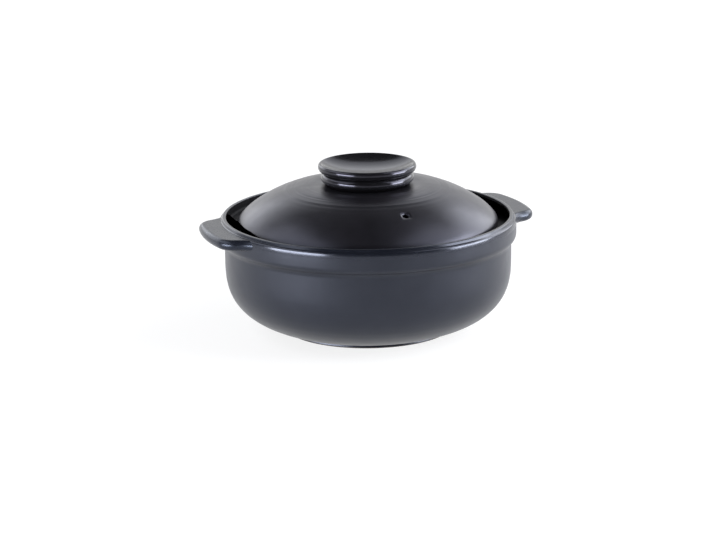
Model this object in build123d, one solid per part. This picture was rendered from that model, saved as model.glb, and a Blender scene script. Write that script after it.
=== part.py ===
from build123d import *
import math
import os

# A donabe: a low clay pot for stove and table, with two lug handles on its rim and a domed
# lid that sits in a gallery inside the lip. Millimetres, +Z up. The origin is the centre of
# the foot on the ground, the left handle lies along -X with the right one just off its line,
# and the front is towards -Y.

# The pot's overall form
rim_radius = 127.0          # outside of the lip, and of the collar below it
pot_height = 98.5           # ground to the crest of the lip
wall = 7.6                  # side wall of the bowl
floor_thickness = 7.4       # clay under the cooking floor

# The lip and the collar
lip_width = 5.8             # outside to inside of the lip
lip_slope_width = 3.2       # outside of the lip in to its flat crest
lip_slope_drop = 3.8        # crest down the slope to where the collar starts
lip_crest_radius = 1.6      # from the slope on to the crest
lip_edge_radius = 1.2       # from the slope on to the collar
lip_inner_radius = 1.0      # from the crest down to the gallery
collar_height = 12.0        # straight band below the lip
cavetto_height = 9.6        # ogee from the collar in to the belly

# The wall, the belly and the foot
wall_inset = 4.3            # outside of the collar in to the wall below it
wall_band = 10.1            # upright part of the wall, from the cavetto down to the belly
belly_fullness_share = 2.95     # 2 makes the section an ellipse, and more makes it squarer
inner_fullness_share = 3.5
foot_radius = 74.0
foot_height = 3.6           # ground to where the belly springs from the foot
foot_width = 9.0            # width of the ring that the pot stands on
foot_step = 3.2             # how far the belly stands out past the foot
foot_undercut = 1.2         # how far the foot's wall leans in on its way up
foot_recess = 3.0           # hollow under the base, inside the ring
foot_edge_radius = 0.9      # corners of the ring and of the hollow under the base

# The gallery that carries the lid
ledge_drop = 8.1            # crest of the lip down to the ledge
ledge_width = 15.7          # inside of the lip in to the mouth
ledge_thickness = 6.4
ledge_corner_radius = 2.6   # hollow corner between ledge and lip
mouth_edge_radius = 1.4

# The lug handles
handle_reach = 17.4         # outer edge, out from the rim
handle_shoulder_angle = 11.3    # degrees from the handle's middle to where its shoulder starts
handle_shoulder_radius = 17.0   # rounded outer corner, seen from above
handle_throat_radius = 30.0     # hollow curve that runs from the shoulder into the rim
handle_drop = 2.5           # crest of the lip down to the handle's flat top
handle_thickness = 9.1
handle_top_radius = 3.0
handle_under_radius = 3.6
handle_root_depth = 2.2     # how deep the root is shaped into the wall, before it is trimmed
right_handle_turn = 2.5     # degrees that the right handle stands off the line of the left one

# The lid's dome
lid_clearance = 10.0        # inside of the lip in to the lid's edge
lid_thickness = 6.2
lid_crown_rise = 34.5       # ledge up to the crown
lid_edge_radius = 2.2       # from the flat seat round to the widest line of the lid
lid_seat_width = 5.6        # flat ring under the lid's edge
crown_margin = 8.1          # flat crown left showing round the knob's neck
shoulder_rise = 7.8         # how long the edge stays upright before the dome turns in
crown_run = 32.4            # how far the crown stays level before the dome falls away
vent_diameter = 5.2
vent_flare = 1.3            # rounding of the vent's outer mouth
vent_inset = 27.2           # edge of the lid in to the vent
vent_angle = -87.2          # degrees from +X, close to the front

# The knob, a turned ring with a dished top
knob_radius = 41.9          # widest line, just under the rim
knob_height = 18.0          # crown up to the knob's rim
knob_wide_drop = 3.2        # rim down to the widest line
knob_rim_inset = 2.2        # widest line in to the crest of the rim
knob_neck_inset = 4.5       # widest line in to the neck
knob_bead_proud = 2.4       # how far the bead stands out from the neck
knob_bead_height = 5.4
knob_bead_rise = 5.4        # crown up to the middle of the bead
knob_groove_depth = 0.9     # how far the groove runs in past the neck
knob_groove_rise = 10.2     # crown up to the deepest line of the groove
knob_dish_depth = 8.5
knob_dish_rim = 1.6         # crest of the rim in to where the dish begins
knob_root_depth = 2.6       # how deep the neck is shaped into the crown, before it is trimmed

# Radii and levels that several pieces share
wall_radius = rim_radius - wall_inset
lip_inside = rim_radius - lip_width
mouth_radius = lip_inside - ledge_width
lid_radius = lip_inside - lid_clearance
knob_neck_radius = knob_radius - knob_neck_inset
crown_radius = knob_neck_radius + crown_margin
collar_top = pot_height - lip_slope_drop
collar_foot = collar_top - collar_height
wall_top = collar_foot - cavetto_height
ledge_level = pot_height - ledge_drop
lid_edge_level = ledge_level + lid_edge_radius
crown_level = ledge_level + lid_crown_rise


def turned(outline):
    """A solid turned round Z from a closed outline, drawn as radius and height."""
    edges = [edge for run in outline for edge in run.edges()]
    section = Plane.XZ * make_face(Wire(edges))
    return revolve(section, Axis.Z).solid()


def swelling(radius, level, foot, fullness, steps=9):
    """Points of a swelling wall, from its widest line at this level down to its foot."""
    foot_radius_there, foot_level = foot
    depth = (level - foot_level) / (1 - (foot_radius_there / radius) ** fullness) ** (1 / fullness)
    end = math.acos((foot_radius_there / radius) ** (fullness / 2))
    points = []
    for step in range(steps + 1):
        turn = end * step / steps
        points.append((radius * math.cos(turn) ** (2 / fullness),
                       level - depth * math.sin(turn) ** (2 / fullness)))
    return points


def ogee(start, end):
    """Two arcs that meet midway, for a step in a wall that is upright at both ends."""
    middle = ((start[0] + end[0]) / 2, (start[1] + end[1]) / 2)
    way = end[1] - start[1]
    return [TangentArc(start, middle, tangent=(0, way)), TangentArc(end, middle, tangent=(0, -way))]


def outer_outline():
    """The pot's outside, from the middle of the base up to the foot of the collar."""
    ring_in = foot_radius - foot_width
    foot_top = (foot_radius - foot_undercut, foot_height)
    spring = (foot_radius + foot_step, foot_height)
    belly = swelling(wall_radius, wall_top - wall_band, spring, belly_fullness_share)
    belly.reverse()
    return [
        FilletPolyline((0, foot_recess), (ring_in, foot_recess), (ring_in, 0), (foot_radius, 0),
                       foot_top, radius=foot_edge_radius),
        Line(foot_top, spring),
        Spline(*belly, tangents=[Vector(belly[1]) - Vector(spring), (0, 1)]),
        Line(belly[-1], (wall_radius, wall_top)),
        *ogee((wall_radius, wall_top), (rim_radius, collar_foot)),
    ]


def rim_outline():
    """The collar, the lip and the gallery, from the foot of the collar round to the mouth."""
    return FilletPolyline(
        (rim_radius, collar_foot), (rim_radius, collar_top),
        (rim_radius - lip_slope_width, pot_height), (lip_inside, pot_height),
        (lip_inside, ledge_level), (mouth_radius, ledge_level),
        (mouth_radius, ledge_level - ledge_thickness),
        radius=[lip_edge_radius, lip_crest_radius, lip_inner_radius, ledge_corner_radius,
                mouth_edge_radius])


def inner_outline():
    """The pot's inside, from the mouth out under the gallery and down to the floor."""
    floor_level = foot_recess + floor_thickness
    inner_radius = wall_radius - wall
    inner_level = wall_top - cavetto_height / 2
    hollow = swelling(inner_radius, inner_level, (0, floor_level), inner_fullness_share)
    return [
        *ogee((mouth_radius, ledge_level - ledge_thickness), (inner_radius, inner_level)),
        Spline(*hollow, tangents=[(0, -1), (-1, 0)]),
        Line((0, floor_level), (0, foot_recess)),
    ]


def lug_plan():
    """The lug at +X from above: each flank is a shoulder arc that runs on into a hollow arc."""
    outer = rim_radius + handle_reach
    root = rim_radius - handle_root_depth
    to_shoulder = outer - handle_shoulder_radius
    to_throat = root + handle_throat_radius
    apart = handle_shoulder_radius + handle_throat_radius

    # The two arcs touch where the line between their centres crosses them
    between = math.acos((to_shoulder ** 2 + to_throat ** 2 - apart ** 2)
                        / (2 * to_shoulder * to_throat))
    throat_angle = handle_shoulder_angle + math.degrees(between)
    shoulder = Vector(to_shoulder, 0).rotate(Axis.Z, handle_shoulder_angle)
    throat = Vector(to_throat, 0).rotate(Axis.Z, throat_angle)
    across = throat - shoulder
    touch = math.degrees(math.atan2(across.Y, across.X))

    flank = [
        CenterArc(shoulder, handle_shoulder_radius, handle_shoulder_angle,
                  touch - handle_shoulder_angle),
        CenterArc(throat, handle_throat_radius, 180 + touch, throat_angle - touch),
    ]
    return make_face(Wire([
        CenterArc((0, 0), outer, -handle_shoulder_angle, 2 * handle_shoulder_angle),
        *flank,
        *[edge.mirror(Plane.XZ) for edge in flank],
        CenterArc((0, 0), root, throat_angle, 360 - 2 * throat_angle),
    ]))


def lug_handle(pot):
    """The lug handle at +X: rounded above and below, and trimmed to the pot's wall."""
    under = pot_height - handle_drop - handle_thickness
    blank = extrude(Plane.XY.offset(under) * lug_plan(), amount=handle_thickness)
    blank = fillet(blank.edges().group_by(Axis.Z)[-1], handle_top_radius)
    blank = fillet(blank.edges().group_by(Axis.Z)[0], handle_under_radius)
    return (blank - pot).solids().sort_by(Axis.X)[-1]


def dome_line():
    """The dome's outer line, from the widest line of the lid up and in to the crown."""
    return Bezier((lid_radius, lid_edge_level), (lid_radius, lid_edge_level + shoulder_rise),
                  (crown_radius + crown_run, crown_level), (crown_radius, crown_level))


def vent_drill():
    """What the steam vent takes out of the dome: a straight hole with a rounded mouth."""
    curve = dome_line()
    vent_radius = lid_radius - vent_inset
    low, high = 0.0, 1.0
    for _ in range(40):
        share = (low + high) / 2
        if curve.position_at(share).X > vent_radius:
            low = share
        else:
            high = share
    mouth = curve.position_at(low)
    along = curve.tangent_at(low)
    square_to_dome = Plane(origin=(mouth.X, 0, mouth.Y), x_dir=(0, 1, 0),
                           z_dir=(along.Y, 0, -along.X))

    radius = vent_diameter / 2
    depth = 2 * lid_thickness
    drill = turned([
        Line((0, -depth), (radius, -depth)),
        Line((radius, -depth), (radius, -vent_flare)),
        Bezier((radius, -vent_flare), (radius, 0), (radius + vent_flare, 0)),
        Line((radius + vent_flare, 0), (radius + vent_flare, vent_flare)),
        Line((radius + vent_flare, vent_flare), (0, vent_flare)),
        Line((0, vent_flare), (0, -depth)),
    ])
    return (square_to_dome * drill).rotate(Axis.Z, vent_angle)


def lid_dome():
    """The lid without its knob: seat ring, rounded edge, hollow dome and steam vent."""
    seat_out = lid_radius - lid_edge_radius
    seat_in = seat_out - lid_seat_width
    under = crown_level - lid_thickness
    shoulder_in = shoulder_rise - lid_thickness / 2
    run_in = crown_run - lid_thickness / 2
    dome = turned([
        Line((seat_in, ledge_level), (seat_out, ledge_level)),
        TangentArc((seat_out, ledge_level), (lid_radius, lid_edge_level), tangent=(1, 0)),
        dome_line(),
        Line((crown_radius, crown_level), (0, crown_level)),
        Line((0, crown_level), (0, under)),
        Line((0, under), (crown_radius, under)),
        Bezier((crown_radius, under), (crown_radius + run_in, under),
               (seat_in, lid_edge_level + shoulder_in), (seat_in, lid_edge_level)),
        Line((seat_in, lid_edge_level), (seat_in, ledge_level)),
    ])
    return (dome - vent_drill()).solid()


def lid_knob(dome):
    """The knob: neck, bead, groove and a flared rim round a dished top."""
    root = crown_level - knob_root_depth
    bead_middle = crown_level + knob_bead_rise
    bead_low = bead_middle - knob_bead_height / 2
    bead_high = bead_middle + knob_bead_height / 2
    groove = (knob_neck_radius - knob_groove_depth, crown_level + knob_groove_rise)
    rim_level = crown_level + knob_height
    widest = (knob_radius, rim_level - knob_wide_drop)
    rim = (knob_radius - knob_rim_inset, rim_level)
    dish_radius = knob_radius - knob_rim_inset - knob_dish_rim
    dish_floor = rim_level - knob_dish_depth
    knob = turned([
        Line((0, root), (knob_neck_radius, root)),
        Line((knob_neck_radius, root), (knob_neck_radius, bead_low)),
        ThreePointArc((knob_neck_radius, bead_low),
                      (knob_neck_radius + knob_bead_proud, bead_middle),
                      (knob_neck_radius, bead_high)),
        Line((knob_neck_radius, bead_high), groove),
        TangentArc(widest, groove, tangent=(0, -1)),
        Bezier(widest, (knob_radius, rim_level), rim),
        Bezier(rim, (dish_radius, rim_level), (dish_radius * 3 / 4, dish_floor), (0, dish_floor)),
        Line((0, dish_floor), (0, root)),
    ])
    return (knob - dome).solids().sort_by(Axis.Z)[-1]


bowl = turned([*outer_outline(), rim_outline(), *inner_outline()])
handle = lug_handle(bowl)
dome = lid_dome()
pieces = {
    "bowl": bowl,
    "handle_right": handle.rotate(Axis.Z, right_handle_turn),
    "handle_left": handle.rotate(Axis.Z, 180),
    "lid_dome": dome,
    "lid_knob": lid_knob(dome),
}

os.makedirs("parts", exist_ok=True)
for name, piece in pieces.items():
    piece.label = name
    export_step(piece, f"parts/{name}.step")
    print(name, "valid" if piece.is_valid else "not valid", round(piece.volume), "cubic mm")
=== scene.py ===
import math

import bmesh
import bpy
from mathutils import Matrix, Vector, noise
from mathutils.bvhtree import BVHTree
from mathutils.geometry import interpolate_bezier


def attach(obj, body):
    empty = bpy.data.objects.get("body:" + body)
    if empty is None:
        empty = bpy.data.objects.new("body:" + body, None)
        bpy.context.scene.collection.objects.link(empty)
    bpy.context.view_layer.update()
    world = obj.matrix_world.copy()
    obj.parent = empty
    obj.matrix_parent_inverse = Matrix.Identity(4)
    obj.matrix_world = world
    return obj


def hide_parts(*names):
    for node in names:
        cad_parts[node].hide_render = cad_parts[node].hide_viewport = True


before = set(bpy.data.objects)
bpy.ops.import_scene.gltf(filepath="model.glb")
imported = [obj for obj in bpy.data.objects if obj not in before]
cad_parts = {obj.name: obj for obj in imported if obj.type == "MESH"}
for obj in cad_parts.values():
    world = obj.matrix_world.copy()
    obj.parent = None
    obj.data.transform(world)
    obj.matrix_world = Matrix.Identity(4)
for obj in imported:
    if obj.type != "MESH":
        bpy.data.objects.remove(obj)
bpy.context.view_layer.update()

# A donabe in satin black glaze. The clay is shaped here in millimetres and scaled to metres
# when a piece is finished. The pot stands on the floor round the Z axis, with the left handle
# along -X and the right one a little off +X.

MM = 0.001
TURNS = 256                 # facets round a turned piece

# The pot, as it is in the solids
RIM_RADIUS = 127.0
POT_HEIGHT = 98.5
LIP_INSIDE = 121.2
COLLAR_TOP = 94.7
COLLAR_FOOT = 82.7
WALL_RADIUS = 122.7
WALL_TOP = 73.1
BELLY_TOP = 63.0
BELLY_FULLNESS = 2.95
INNER_FULLNESS = 3.5
FOOT_RADIUS = 74.0
FOOT_HEIGHT = 3.6
SPRING_RADIUS = 77.2
RING_INSIDE = 65.0
BASE_LEVEL = 3.0
FLOOR_LEVEL = 10.4
LEDGE_LEVEL = 90.4
MOUTH_RADIUS = 105.5
LEDGE_THICKNESS = 6.4
WALL_THICKNESS = 7.6
HOLLOW_TOP_DROP = 4.8        # top of the upright wall down to where the hollow begins
FOOT_LEAN = 1.2
FOOT_ROUNDING = 0.9
LEDGE_CORNER = 2.6
MOUTH_ROUNDING = 1.4
WHEEL_DEPTH = 0.10
WHEEL_PITCH = 4.2
WHEEL_FADE = 6.0

# The lid and its knob
LID_RADIUS = 111.2
LID_EDGE_RADIUS = 2.2
SEAT_INSIDE = 103.4
CROWN_RADIUS = 45.5
CROWN_LEVEL = 124.9
DOME_SHOULDER = 10.0         # ledge up to where the edge starts to turn in
DOME_RUN = 32.4              # how far the crown stays level before it falls away
UNDER_SHOULDER = 6.9
UNDER_RUN = 29.3
LID_THICKNESS = 6.2
VENT_REACH = 84.0
VENT_ANGLE = math.radians(-87.2)
VENT_RADIUS = 2.6
VENT_FLARE = 1.3
KNOB_RADIUS = 41.9
KNOB_NECK = 37.4
KNOB_RIM = 39.7
KNOB_TOP = 142.9
BEAD_RISE = 5.4              # crown up to the middle of the bead
CREASE_RISE = 10.2           # crown up to the crease over the bead
CREASE_DEPTH = 0.9
WIDEST_DROP = 3.2            # rim down to the widest line
DISH_DEPTH = 8.5

# The lug handles
LUG_OUTER = 144.4
LUG_TOP = 96.0
LUG_THICKNESS = 9.1
SHOULDER_ANGLE = math.radians(11.3)
SHOULDER_RADIUS = 17.0
THROAT_RADIUS = 30.0
LUG_ROOT = 124.8
LUG_HIDDEN_END = 122.6
LUG_TOP_ROUNDING = 4.6
LUG_UNDER_ROUNDING = 4.0
RIGHT_LUG_TURN = math.radians(2.5)


# Shaping

def cubic(start, leave, arrive, end, steps):
    """Points along a cubic curve of (radius, height) points."""
    corners = [Vector((r, 0, z)) for r, z in (start, leave, arrive, end)]
    return [(p.x, p.z) for p in interpolate_bezier(*corners, steps + 1)]


def rounded(*corners, steps=7):
    """A line through (radius, height) corners. A third number rounds that corner to an arc."""
    path = []
    for i, corner in enumerate(corners):
        here = Vector(corner[:2])
        radius = corner[2] if len(corner) > 2 else 0
        if not radius:
            path.append(tuple(here))
            continue
        back = (Vector(corners[i - 1][:2]) - here).normalized()
        onward = (Vector(corners[i + 1][:2]) - here).normalized()
        turn = math.pi - back.angle(onward)
        reach = radius * math.tan(turn / 2)
        pull = reach - radius * math.tan(turn / 4) * 4 / 3
        path += cubic(here + back * reach, here + back * pull,
                      here + onward * pull, here + onward * reach, steps)
    return path


def swelling(radius, level, foot, fullness, steps=44):
    """A swelling wall, from its widest line at this level down to its foot."""
    foot_radius, foot_level = foot
    depth = (level - foot_level) / (1 - (foot_radius / radius) ** fullness) ** (1 / fullness)
    end = math.acos((foot_radius / radius) ** (fullness / 2))
    path = []
    for step in range(steps + 1):
        turn = end * step / steps
        path.append((radius * math.cos(turn) ** (2 / fullness),
                     level - depth * math.sin(turn) ** (2 / fullness)))
    return path


def turned(path):
    """Spins an outline of (radius, height) points round Z into a closed turned form."""
    mesh = bmesh.new()
    previous, edges, verts = None, [], []
    for r, z in path:
        if previous and (Vector((r, 0, z)) - previous.co).length < 1e-4:
            continue
        vert = mesh.verts.new((r, 0, z))
        if previous:
            edges.append(mesh.edges.new((previous, vert)))
        verts.append(vert)
        previous = vert
    bmesh.ops.spin(mesh, geom=verts + edges, cent=(0, 0, 0), axis=(0, 0, 1),
                   angle=math.tau, steps=TURNS, use_merge=True)
    bmesh.ops.remove_doubles(mesh, verts=mesh.verts, dist=1e-4)
    bmesh.ops.recalc_face_normals(mesh, faces=mesh.faces)
    return mesh


def wheel_marks(mesh, low, high):
    """Presses the soft spiral rings of the wheel into the outside between two levels."""
    for vert in mesh.verts:
        x, y, z = vert.co
        radius = math.hypot(x, y)
        if radius < 1 or vert.normal.dot(Vector((x, y, 0))) + vert.normal.z * radius < 0:
            continue
        share = min((z - low) / WHEEL_FADE, (high - z) / WHEEL_FADE, 1.0)
        if share <= 0:
            continue
        turn = math.atan2(y, x) / math.tau
        ring = noise.noise(Vector(((z + turn * WHEEL_PITCH) / WHEEL_PITCH, 0, 0)))
        vert.co += vert.normal * ring * WHEEL_DEPTH * share


def finish_piece(mesh, name, body, slot, materials, *nodes):
    """Makes the object of a shaped piece, in metres, and says what it is part of."""
    bmesh.ops.scale(mesh, vec=(MM, MM, MM), verts=mesh.verts)
    for face in mesh.faces:
        face.smooth = True
    data = bpy.data.meshes.new(name)
    mesh.to_mesh(data)
    mesh.free()
    piece = bpy.data.objects.new(name, data)
    bpy.context.scene.collection.objects.link(piece)
    for material in materials:
        data.materials.append(material)
    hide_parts(*nodes)
    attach(piece, body)


# Glazes and clay

def node(tree, kind, **values):
    """A shader node, with its settings and the values of its sockets."""
    made = tree.nodes.new(kind)
    for key, value in values.items():
        if hasattr(made, key):
            setattr(made, key, value)
        else:
            made.inputs[key.replace("_", " ")].default_value = value
    return made


def glaze(name, dark, light, rough, rough_spread, sheen_tint, index=1.5, lip=None,
          grain=0.00002):
    """A satin glaze: two close tints that drift, fine dark specks, and an uneven sheen."""
    material = bpy.data.materials.new(name)
    material.use_nodes = True
    tree = material.node_tree
    link = tree.links.new
    shader = tree.nodes["Principled BSDF"]
    place = node(tree, "ShaderNodeTexCoord")

    drift = node(tree, "ShaderNodeTexNoise", Scale=26.0, Detail=4.0, Roughness=0.55)
    link(place.outputs["Object"], drift.inputs["Vector"])
    tint = node(tree, "ShaderNodeMix", data_type="RGBA")
    tint.inputs["A"].default_value = (*dark, 1)
    tint.inputs["B"].default_value = (*light, 1)
    spread = node(tree, "ShaderNodeMapRange", From_Min=0.35, From_Max=0.65)
    link(drift.outputs["Fac"], spread.inputs["Value"])
    link(spread.outputs["Result"], tint.inputs["Factor"])

    specks = node(tree, "ShaderNodeTexVoronoi", Scale=900.0, Randomness=1.0)
    link(place.outputs["Object"], specks.inputs["Vector"])
    speck = node(tree, "ShaderNodeMapRange", From_Min=0.10, From_Max=0.22, To_Min=0.72,
                 To_Max=1.0)
    link(specks.outputs["Distance"], speck.inputs["Value"])
    speckled = node(tree, "ShaderNodeMix", data_type="RGBA", blend_type="MULTIPLY")
    speckled.inputs["Factor"].default_value = 1.0
    link(tint.outputs["Result"], speckled.inputs["A"])
    link(speck.outputs["Result"], speckled.inputs["B"])
    link(speckled.outputs["Result"], shader.inputs["Base Color"])

    cloud = node(tree, "ShaderNodeTexNoise", Scale=60.0, Detail=3.0, Roughness=0.6)
    link(place.outputs["Object"], cloud.inputs["Vector"])
    sheen = node(tree, "ShaderNodeMapRange", From_Min=0.3, From_Max=0.7,
                 To_Min=rough - rough_spread, To_Max=rough + rough_spread)
    link(cloud.outputs["Fac"], sheen.inputs["Value"])
    if lip:
        level = node(tree, "ShaderNodeSeparateXYZ")
        link(place.outputs["Object"], level.inputs["Vector"])
        thin = node(tree, "ShaderNodeMapRange", From_Min=lip[0], From_Max=lip[1],
                    To_Min=1.0, To_Max=lip[2])
        link(level.outputs["Z"], thin.inputs["Value"])
        glossed = node(tree, "ShaderNodeMath", operation="MULTIPLY")
        link(sheen.outputs["Result"], glossed.inputs[0])
        link(thin.outputs["Result"], glossed.inputs[1])
        link(glossed.outputs["Value"], shader.inputs["Roughness"])
    else:
        link(sheen.outputs["Result"], shader.inputs["Roughness"])

    skin = node(tree, "ShaderNodeTexNoise", Scale=420.0, Detail=3.0, Roughness=0.5)
    link(place.outputs["Object"], skin.inputs["Vector"])
    bump = node(tree, "ShaderNodeBump", Strength=0.35, Distance=grain)
    link(skin.outputs["Fac"], bump.inputs["Height"])
    link(bump.outputs["Normal"], shader.inputs["Normal"])

    shader.inputs["IOR"].default_value = index
    shader.inputs["Specular Tint"].default_value = (*sheen_tint, 1)
    return material


def bare_clay(name):
    """Dark, dry clay where the glaze is wiped off before firing."""
    material = bpy.data.materials.new(name)
    material.use_nodes = True
    tree = material.node_tree
    link = tree.links.new
    shader = tree.nodes["Principled BSDF"]
    place = node(tree, "ShaderNodeTexCoord")
    body = node(tree, "ShaderNodeTexNoise", Scale=90.0, Detail=5.0, Roughness=0.6)
    link(place.outputs["Object"], body.inputs["Vector"])
    tint = node(tree, "ShaderNodeMix", data_type="RGBA")
    tint.inputs["A"].default_value = (0.036, 0.031, 0.029, 1)
    tint.inputs["B"].default_value = (0.075, 0.064, 0.058, 1)
    link(body.outputs["Fac"], tint.inputs["Factor"])
    link(tint.outputs["Result"], shader.inputs["Base Color"])
    sand = node(tree, "ShaderNodeTexVoronoi", Scale=1600.0)
    link(place.outputs["Object"], sand.inputs["Vector"])
    bump = node(tree, "ShaderNodeBump", Strength=0.5, Distance=0.0001)
    link(sand.outputs["Distance"], bump.inputs["Height"])
    link(bump.outputs["Normal"], shader.inputs["Normal"])
    dry = node(tree, "ShaderNodeMapRange", To_Min=0.75, To_Max=0.9)
    link(body.outputs["Fac"], dry.inputs["Value"])
    link(dry.outputs["Result"], shader.inputs["Roughness"])
    return material


pot_glaze = glaze("pot_glaze", (0.0065, 0.0075, 0.0115), (0.0100, 0.0112, 0.0160), 0.34, 0.03,
                  (0.78, 0.83, 1.0), lip=(0.0895, 0.0935, 0.62))
lug_glaze = glaze("lug_glaze", (0.0065, 0.0075, 0.0115), (0.0100, 0.0112, 0.0160), 0.28, 0.03,
                  (0.70, 0.79, 1.0), 1.43, grain=0.00005)
lid_glaze = glaze("lid_glaze", (0.0066, 0.0060, 0.0074), (0.0094, 0.0087, 0.0104), 0.33, 0.03,
                  (0.76, 0.78, 1.0))
knob_glaze = glaze("knob_glaze", (0.0062, 0.0060, 0.0070), (0.0085, 0.0082, 0.0095), 0.17, 0.03,
                   (0.80, 0.80, 1.0), 1.45)
# The gallery glaze: its darker tints and weak sheen are painted shade for the recess round the
# lid. Its matte roughness is the glaze's own.
gallery_shade_glaze = glaze("gallery_shade_glaze", (0.0040, 0.0040, 0.0048), (0.0070, 0.0070, 0.0080),
                     0.62, 0.05, (0.5, 0.5, 0.6), 1.3)
foot_clay = bare_clay("foot_clay")


# The pot

def ogee(low, high, radius):
    """The two corners of an upright step between (radius, height) points, as two arcs."""
    (r0, z0), (r1, z1) = low, high
    half = math.atan2(abs(r1 - r0), abs(z1 - z0))
    reach = math.copysign(radius * math.tan(half), z1 - z0)
    return [(r0, z0 + reach, radius), (r1, z1 - reach, radius)]


def step_radius(low, high):
    """The radius at which the two arcs of an upright step meet halfway."""
    rise, run = abs(high[1] - low[1]), abs(high[0] - low[0])
    return (rise ** 2 + run ** 2) / (4 * run)


def pot_form():
    spring = (SPRING_RADIUS, FOOT_HEIGHT)
    belly = swelling(WALL_RADIUS, BELLY_TOP, spring, BELLY_FULLNESS)
    belly.reverse()
    wall_top, collar_foot = (WALL_RADIUS, WALL_TOP), (RIM_RADIUS, COLLAR_FOOT)
    throat = (MOUTH_RADIUS, LEDGE_LEVEL - LEDGE_THICKNESS)
    inner_top = (WALL_RADIUS - WALL_THICKNESS, WALL_TOP - HOLLOW_TOP_DROP)
    hollow = swelling(inner_top[0], inner_top[1], (0.0, FLOOR_LEVEL), INNER_FULLNESS, steps=40)
    path = rounded((0, BASE_LEVEL), (RING_INSIDE, BASE_LEVEL, FOOT_ROUNDING),
                   (RING_INSIDE, 0, FOOT_ROUNDING), (FOOT_RADIUS, 0, FOOT_ROUNDING),
                   (FOOT_RADIUS - FOOT_LEAN, FOOT_HEIGHT - 0.3, 0.25), spring)
    path += belly
    path += rounded(belly[-1], *ogee(wall_top, collar_foot, step_radius(wall_top, collar_foot)),
                    (RIM_RADIUS, COLLAR_TOP - 1.7, 14.0),
                    (RIM_RADIUS - 0.5, COLLAR_TOP + 0.8, 1.8),
                    (RIM_RADIUS - 2.1, COLLAR_TOP + 1.6, 0.35),
                    (RIM_RADIUS - 3.1, POT_HEIGHT, 0.9),
                    (LIP_INSIDE, POT_HEIGHT, 0.6), (LIP_INSIDE, LEDGE_LEVEL, LEDGE_CORNER),
                    (MOUTH_RADIUS, LEDGE_LEVEL, MOUTH_ROUNDING),
                    *ogee(throat, inner_top, step_radius(throat, inner_top)), inner_top)
    path += hollow
    mesh = turned(path)
    wheel_marks(mesh, 8.0, COLLAR_FOOT - 4)
    return mesh


def paint(mesh, index, test):
    """Gives the faces that pass the test another of the piece's materials."""
    for face in mesh.faces:
        centre = face.calc_center_median()
        if test(math.hypot(centre.x, centre.y), centre.z):
            face.material_index = index


pot = pot_form()
paint(pot, 1, lambda r, z: z < 0.9 and r > RING_INSIDE - 0.5)
# The faces of the gallery between the lip and the lid's seat take the darker gallery glaze,
# painted shade for that recess.
paint(pot, 2, lambda r, z: (MOUTH_RADIUS < r < LIP_INSIDE + 0.4
                            and LEDGE_LEVEL - 0.5 < z < POT_HEIGHT - 0.3))
finish_piece(pot, "pot_body", "pot", "pot_glaze", [pot_glaze, foot_clay, gallery_shade_glaze], "bowl")


# The lug handles

def edges_among(verts):
    """The edges that have both their ends among these vertices."""
    verts = set(verts)
    return list({edge for vert in verts for edge in vert.link_edges
                 if verts.issuperset(edge.verts)})


def arc(mesh, vert, centre, angle, steps):
    """Draws an arc on from a vertex round a centre, and gives the vertex that it ends at."""
    made = bmesh.ops.spin(mesh, geom=[vert], cent=centre, axis=(0, 0, 1), angle=angle,
                          steps=steps)
    return next(g for g in made["geom_last"] if isinstance(g, bmesh.types.BMVert))


def lug_ring(mesh, inset, level):
    """The handle's outline of tangent arcs at a level, drawn in by an inset."""
    to_shoulder = LUG_OUTER - SHOULDER_RADIUS
    to_throat = LUG_ROOT + THROAT_RADIUS
    between = math.acos((to_shoulder ** 2 + to_throat ** 2
                         - (SHOULDER_RADIUS + THROAT_RADIUS) ** 2) / (2 * to_shoulder * to_throat))
    throat_angle = SHOULDER_ANGLE + between
    shoulder = Vector((to_shoulder * math.cos(SHOULDER_ANGLE),
                       to_shoulder * math.sin(SHOULDER_ANGLE), level))
    throat = Vector((to_throat * math.cos(throat_angle), to_throat * math.sin(throat_angle),
                     level))
    across = throat - shoulder
    touch = math.atan2(across.y, across.x)

    before = set(mesh.verts)
    tip = mesh.verts.new((LUG_OUTER - inset, 0, level))
    vert = arc(mesh, tip, (0, 0, 0), SHOULDER_ANGLE, 10)
    vert = arc(mesh, vert, shoulder, touch - SHOULDER_ANGLE, 14)
    vert = arc(mesh, vert, throat, (throat_angle - touch) * 0.86, 16)
    made = bmesh.ops.extrude_vert_indiv(mesh, verts=[vert])
    inner = made["verts"][0]
    direction = Vector((inner.co.x, inner.co.y, 0)).normalized()
    inner.co = direction * LUG_HIDDEN_END + Vector((0, 0, level))
    arc(mesh, inner, (0, 0, 0), -math.atan2(direction.y, direction.x), 12)
    half = [v for v in mesh.verts if v not in before]
    bmesh.ops.mirror(mesh, geom=half + edges_among(half), axis="Y", merge_dist=1e-3)
    bmesh.ops.remove_doubles(mesh, verts=[v for v in mesh.verts if v not in before], dist=1e-3)
    return edges_among([v for v in mesh.verts if v not in before])


def lug_form():
    """The handle at +X: rings of its outline, drawn in over rounded edges, and two flat faces."""
    mesh = bmesh.new()
    rings = []
    under = LUG_TOP - LUG_THICKNESS
    for middle, radius, start in ((LUG_TOP - LUG_TOP_ROUNDING, LUG_TOP_ROUNDING, 90),
                                  (under + LUG_UNDER_ROUNDING, LUG_UNDER_ROUNDING, 0)):
        for step in range(11):
            angle = math.radians(start - 9 * step)
            rings.append(lug_ring(mesh, radius * (1 - math.cos(angle)),
                                  middle + radius * math.sin(angle)))
    for above, below in zip(rings, rings[1:]):
        bmesh.ops.bridge_loops(mesh, edges=above + below)
    flats = []
    for ring in (rings[0], rings[-1]):
        flats += bmesh.ops.contextual_create(mesh, geom=ring)["faces"]
    bmesh.ops.inset_individual(mesh, faces=flats, thickness=0.25)
    bmesh.ops.recalc_face_normals(mesh, faces=mesh.faces)
    return mesh


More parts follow.
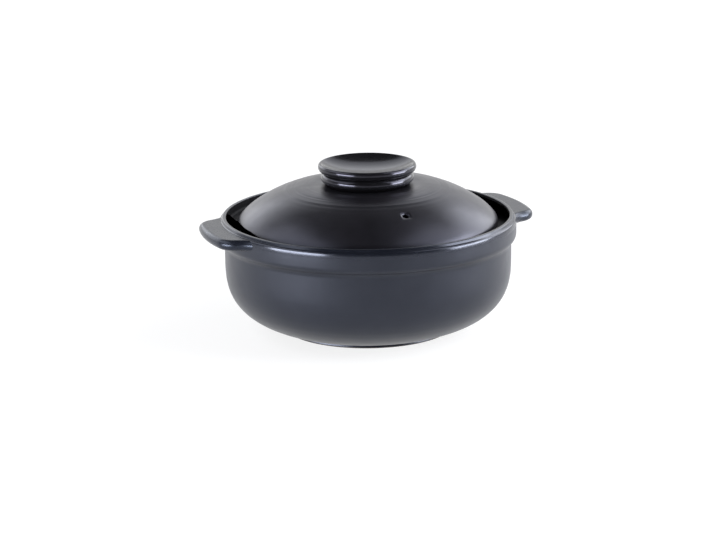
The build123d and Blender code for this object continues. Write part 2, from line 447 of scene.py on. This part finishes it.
for name, node_name, turn in (("lug_right", "handle_right", RIGHT_LUG_TURN),
                              ("lug_left", "handle_left", math.pi)):
    lug = lug_form()
    bmesh.ops.rotate(lug, cent=(0, 0, 0), matrix=Matrix.Rotation(turn, 3, "Z"), verts=lug.verts)
    finish_piece(lug, name, "pot", "handle_glaze", [lug_glaze], node_name)


# The lid

DOME = ((LID_RADIUS, LEDGE_LEVEL + LID_EDGE_RADIUS), (LID_RADIUS, LEDGE_LEVEL + DOME_SHOULDER),
        (CROWN_RADIUS + DOME_RUN, CROWN_LEVEL), (CROWN_RADIUS, CROWN_LEVEL))
UNDER = ((CROWN_RADIUS, CROWN_LEVEL - LID_THICKNESS),
         (CROWN_RADIUS + UNDER_RUN, CROWN_LEVEL - LID_THICKNESS),
         (SEAT_INSIDE, LEDGE_LEVEL + UNDER_SHOULDER), (SEAT_INSIDE, LEDGE_LEVEL + LID_EDGE_RADIUS))

# Lines left by the wheel on the dome: radius, half width, and depth, below zero for a ridge
THROWING_LINES = ((51.0, 1.0, 0.05), (55.5, 1.2, 0.04), (62.6, 1.1, 0.13), (65.8, 0.9, 0.06),
                  (69.3, 1.1, -0.10), (72.4, 1.2, 0.06), (77.5, 1.5, 0.03), (92.0, 2.0, 0.03))


def thrown(path):
    """Sets the throwing lines into a line of (radius, height) points along the dome."""
    marked = []
    for i, (r, z) in enumerate(path):
        before, after = path[max(i - 1, 0)], path[min(i + 1, len(path) - 1)]
        along = Vector((after[0] - before[0], after[1] - before[1])).normalized()
        depth = sum(deep * math.exp(-((r - at) / half) ** 2) for at, half, deep in THROWING_LINES)
        marked.append((r - along.y * depth, z + along.x * depth))
    return marked


def lid_form():
    """The lid: hollow dome, rounded edge, flat seat, and the lines of the wheel on the dome."""
    path = rounded((0, CROWN_LEVEL - LID_THICKNESS), UNDER[0])
    path += cubic(*UNDER, 60)
    path += rounded(UNDER[-1], (SEAT_INSIDE, LEDGE_LEVEL, 0.5),
                    (LID_RADIUS, LEDGE_LEVEL, LID_EDGE_RADIUS), DOME[0])
    path += thrown(cubic(*DOME, 180))
    path += rounded((CROWN_RADIUS, CROWN_LEVEL), (0, CROWN_LEVEL))
    mesh = turned(path)
    pierce_vent(mesh)
    return mesh


def dome_point(reach):
    """The point of the dome's outside at this radius, over +X, and the way out of the dome."""
    points = cubic(*DOME, 600)
    i = min(range(1, 600), key=lambda k: abs(points[k][0] - reach))
    run, rise = (points[i + 1][k] - points[i - 1][k] for k in (0, 1))
    return Vector((points[i][0], 0, points[i][1])), Vector((rise, 0, -run)).normalized()


def open_patch(mesh, spot, out, side, columns, tall):
    """Takes a block of faces out of one side of the dome, and gives the edges left open."""
    half_facet = math.tau / TURNS / 2
    up_dome = Vector((-out.z, 0, out.x))
    block = []
    for face in mesh.faces:
        centre = face.calc_center_median()
        if (centre.x > 0 and face.normal.dot(out) * side > 0.6
                and abs(math.atan2(centre.y, centre.x)) < half_facet * columns
                and abs((centre - spot).dot(up_dome)) < tall / 2):
            block.append(face)
    bmesh.ops.delete(mesh, geom=block, context="FACES")
    return [edge for edge in mesh.edges if edge.is_boundary]


def pierce_vent(mesh):
    """Pierces the steam vent square to the dome, with a soft mouth on the outside."""
    spot, out = dome_point(VENT_REACH)
    bmesh.ops.rotate(mesh, cent=(0, 0, 0), matrix=Matrix.Rotation(math.tau / TURNS / 2, 3, "Z"),
                     verts=mesh.verts)
    surface = BVHTree.FromBMesh(mesh)
    upright = Matrix.Translation(spot) @ out.to_track_quat("Z", "Y").to_matrix().to_4x4()

    def ring(radius, sunk, side, segments):
        """A ring round the vent's axis, laid on the outside or the inside of the dome."""
        made = bmesh.ops.create_circle(mesh, segments=segments, radius=radius, matrix=upright)
        for vert in made["verts"]:
            vert.co = surface.ray_cast(vert.co + out * side * 9, out * -side)[0] - out * sunk
        return made["verts"]

    edge_outside = open_patch(mesh, spot, out, 1, 5, 10.4)
    segments = len(edge_outside)
    rings = [ring(VENT_RADIUS + VENT_FLARE * (1 - math.sin(turn)),
                  VENT_FLARE * (1 - math.cos(turn)), 1, segments)
             for turn in (math.pi / 2 * step / 6 for step in range(7))]
    bmesh.ops.bridge_loops(mesh, edges=edge_outside + edges_among(rings[0]))
    edge_inside = open_patch(mesh, spot, out, -1, 5, 9.0)
    rings.append(ring(VENT_RADIUS, 0, -1, segments))
    for one, next_one in zip(rings, rings[1:]):
        bmesh.ops.bridge_loops(mesh, edges=edges_among(one) + edges_among(next_one))
    bmesh.ops.bridge_loops(mesh, edges=edge_inside + edges_among(rings[-1]))
    bmesh.ops.recalc_face_normals(mesh, faces=mesh.faces)
    bmesh.ops.rotate(mesh, cent=(0, 0, 0), matrix=Matrix.Rotation(VENT_ANGLE, 3, "Z"),
                     verts=mesh.verts)


lid = lid_form()
paint(lid, 1, lambda r, z: z < LEDGE_LEVEL + 0.3)
finish_piece(lid, "lid_shell", "lid", "lid_glaze", [lid_glaze, foot_clay], "lid_dome")


def knob_form():
    """The knob: a foot that runs out softly on to the crown, a round bead, a groove, a dish."""
    root, top = CROWN_LEVEL, KNOB_TOP
    bead, wide = root + BEAD_RISE, top - WIDEST_DROP
    crease = (KNOB_NECK - CREASE_DEPTH, root + CREASE_RISE)
    path = [(0, root), (KNOB_NECK - 1.8, root), (KNOB_NECK, bead - 2.9)]
    path += cubic((KNOB_NECK, bead - 2.9), (KNOB_NECK + 3.1, bead - 2.6),
                  (KNOB_NECK + 3.0, bead + 3.9), crease, 26)
    path += cubic(crease, (crease[0] + 2.4, crease[1]), (KNOB_RADIUS, wide - 2.6),
                  (KNOB_RADIUS, wide), 18)
    path += cubic((KNOB_RADIUS, wide), (KNOB_RADIUS, top - 1.2), (KNOB_RIM + 1.3, top),
                  (KNOB_RIM, top), 12)
    path += cubic((KNOB_RIM, top), (KNOB_RIM - 1.6, top), (28.6, top - DISH_DEPTH),
                  (0, top - DISH_DEPTH), 44)
    return turned(path)


finish_piece(knob_form(), "knob_ring", "lid", "knob_glaze", [knob_glaze], "lid_knob")


# Studio

CAMERA_AZIMUTH = -19.2
CAMERA_ELEVATION = 13.75
CAMERA_ROLL = 0.65


def seen_white(tree, *kinds):
    """One for the kinds of ray that see the plain white surroundings, and nought for others."""
    path = node(tree, "ShaderNodeLightPath")
    seen = path.outputs[kinds[0]]
    for kind in kinds[1:]:
        either = node(tree, "ShaderNodeMath", operation="MAXIMUM")
        tree.links.new(seen, either.inputs[0])
        tree.links.new(path.outputs[kind], either.inputs[1])
        seen = either.outputs["Value"]
    return seen


def studio_world():
    """White to the camera. The glaze sees a pale band low behind the pot, and dark elsewhere."""
    world = bpy.data.worlds.new("studio")
    bpy.context.scene.world = world
    world.use_nodes = True
    tree = world.node_tree
    link = tree.links.new
    way = node(tree, "ShaderNodeTexCoord")
    height = node(tree, "ShaderNodeSeparateXYZ")
    link(way.outputs["Generated"], height.inputs["Vector"])
    fall = node(tree, "ShaderNodeValToRGB")
    stops = fall.color_ramp.elements
    stops[0].position, stops[0].color = 0.12, (1.0, 1.0, 1.0, 1)
    stops[1].position, stops[1].color = 0.60, (0.05, 0.05, 0.05, 1)
    link(height.outputs["Z"], fall.inputs["Fac"])
    a = math.radians(CAMERA_AZIMUTH)
    behind = node(tree, "ShaderNodeVectorMath", operation="DOT_PRODUCT")
    behind.inputs[1].default_value = (-math.sin(a), math.cos(a), 0.0)
    link(way.outputs["Generated"], behind.inputs[0])
    share = node(tree, "ShaderNodeMapRange", interpolation_type="SMOOTHSTEP")
    share.inputs["From Min"].default_value = -0.35
    share.inputs["From Max"].default_value = 0.75
    share.inputs["To Min"].default_value = 0.06
    share.inputs["To Max"].default_value = 1.25
    link(behind.outputs["Value"], share.inputs["Value"])
    room = tree.nodes["Background"]
    link(fall.outputs["Color"], room.inputs["Color"])
    link(share.outputs["Result"], room.inputs["Strength"])
    white = node(tree, "ShaderNodeBackground", Strength=1.0)
    white.inputs["Color"].default_value = (1, 1, 1, 1)
    mix = node(tree, "ShaderNodeMixShader")
    link(seen_white(tree, "Is Camera Ray", "Is Transmission Ray"), mix.inputs["Fac"])
    link(room.outputs["Background"], mix.inputs[1])
    link(white.outputs["Background"], mix.inputs[2])
    link(mix.outputs["Shader"], tree.nodes["World Output"].inputs["Surface"])


def softbox(name, azimuth, elevation, distance, width, height, brightness, aim=0.07):
    """A soft lamp. Azimuth goes round from the camera, and brightness is what the glaze sees."""
    a, e = math.radians(CAMERA_AZIMUTH + azimuth), math.radians(elevation)
    way = Vector((math.sin(a) * math.cos(e), -math.cos(a) * math.cos(e), math.sin(e)))
    lamp = bpy.data.lights.new(name, "AREA")
    lamp.color = (0.93, 0.95, 1.0)
    lamp.shape = "RECTANGLE"
    lamp.size, lamp.size_y = width, height
    lamp.energy = brightness * math.pi * width * height
    holder = bpy.data.objects.new(name, lamp)
    holder.location = Vector((0, 0, aim)) + way * distance
    holder.rotation_euler = way.to_track_quat("Z", "Y").to_euler()
    bpy.context.scene.collection.objects.link(holder)


def floor():
    """White paper that keeps the pot's shadow and fades to plain white with distance."""
    mesh = bmesh.new()
    bmesh.ops.create_grid(mesh, x_segments=1, y_segments=1, size=12.0)
    data = bpy.data.meshes.new("floor")
    mesh.to_mesh(data)
    mesh.free()
    ground = bpy.data.objects.new("floor", data)
    bpy.context.scene.collection.objects.link(ground)
    material = bpy.data.materials.new("floor_paper")
    material.use_nodes = True
    tree = material.node_tree
    link = tree.links.new
    paper = tree.nodes["Principled BSDF"]
    paper.inputs["Base Color"].default_value = (0.8, 0.8, 0.8, 1)
    paper.inputs["Roughness"].default_value = 0.9
    paper.inputs["Specular IOR Level"].default_value = 0.0
    glow = node(tree, "ShaderNodeEmission", Strength=1.12)
    place = node(tree, "ShaderNodeTexCoord")
    reach = node(tree, "ShaderNodeVectorMath", operation="LENGTH")
    link(place.outputs["Object"], reach.inputs[0])
    fade = node(tree, "ShaderNodeMapRange", From_Min=0.4, From_Max=1.1, To_Min=0.72, To_Max=1.0)
    link(reach.outputs["Value"], fade.inputs["Value"])
    share = node(tree, "ShaderNodeMath", operation="MULTIPLY")
    link(fade.outputs["Result"], share.inputs[1])
    link(seen_white(tree, "Is Camera Ray", "Is Glossy Ray", "Is Transmission Ray"),
         share.inputs[0])
    mix = node(tree, "ShaderNodeMixShader")
    link(share.outputs["Value"], mix.inputs["Fac"])
    link(paper.outputs["BSDF"], mix.inputs[1])
    link(glow.outputs["Emission"], mix.inputs[2])
    link(mix.outputs["Shader"], tree.nodes["Material Output"].inputs["Surface"])
    data.materials.append(material)


studio_world()
floor()

softbox("left_low_box", -52, 7, 0.8, 0.62, 0.17, 23.0, aim=0.03)
softbox("left_box", -84, 44, 1.3, 1.4, 0.8, 2.2)
softbox("left_back_box", -138, 20, 1.2, 0.8, 0.45, 1.6)
softbox("right_low_box", 79, 7, 0.8, 0.50, 0.17, 22.0)
softbox("right_box", 86, 24, 1.2, 0.9, 0.5, 9.0)
softbox("right_high_box", 84, 53, 1.3, 1.0, 0.6, 2.2)
softbox("right_back_box", 126, 27, 1.2, 0.8, 0.7, 3.6)
softbox("back_box", 178, 33, 1.4, 2.4, 0.6, 1.05)

FOCAL_PX, WIDE, HIGH = 2500.0, 716.0, 540.0
RIM_CENTRE = Vector((0, 0, 0.0972))
RIM_AT = (368.3, 214.9)
DISTANCE = 2.1375
azimuth, elevation, roll = (math.radians(v)
                            for v in (CAMERA_AZIMUTH, CAMERA_ELEVATION, CAMERA_ROLL))
away = Vector((math.sin(azimuth) * math.cos(elevation), -math.cos(azimuth) * math.cos(elevation),
               math.sin(elevation)))
lens = bpy.data.cameras.new("camera")
lens.sensor_width = 36.0
lens.lens = FOCAL_PX / WIDE * lens.sensor_width
lens.clip_start, lens.clip_end = 0.05, 60.0
camera = bpy.data.objects.new("camera", lens)
camera.location = RIM_CENTRE + away * DISTANCE
aim = away.to_track_quat("Z", "Y").to_matrix()
right = math.atan((RIM_AT[0] - WIDE / 2) / FOCAL_PX)
up = math.atan((HIGH / 2 - RIM_AT[1]) / FOCAL_PX)
aim = aim @ Matrix.Rotation(right, 3, "Y") @ Matrix.Rotation(-up, 3, "X")
aim = aim @ Matrix.Rotation(-roll, 3, "Z")
camera.rotation_euler = aim.to_euler()
bpy.context.scene.collection.objects.link(camera)
bpy.context.scene.camera = camera
bpy.context.scene.view_settings.view_transform = "Standard"

bpy.context.view_layer.update()
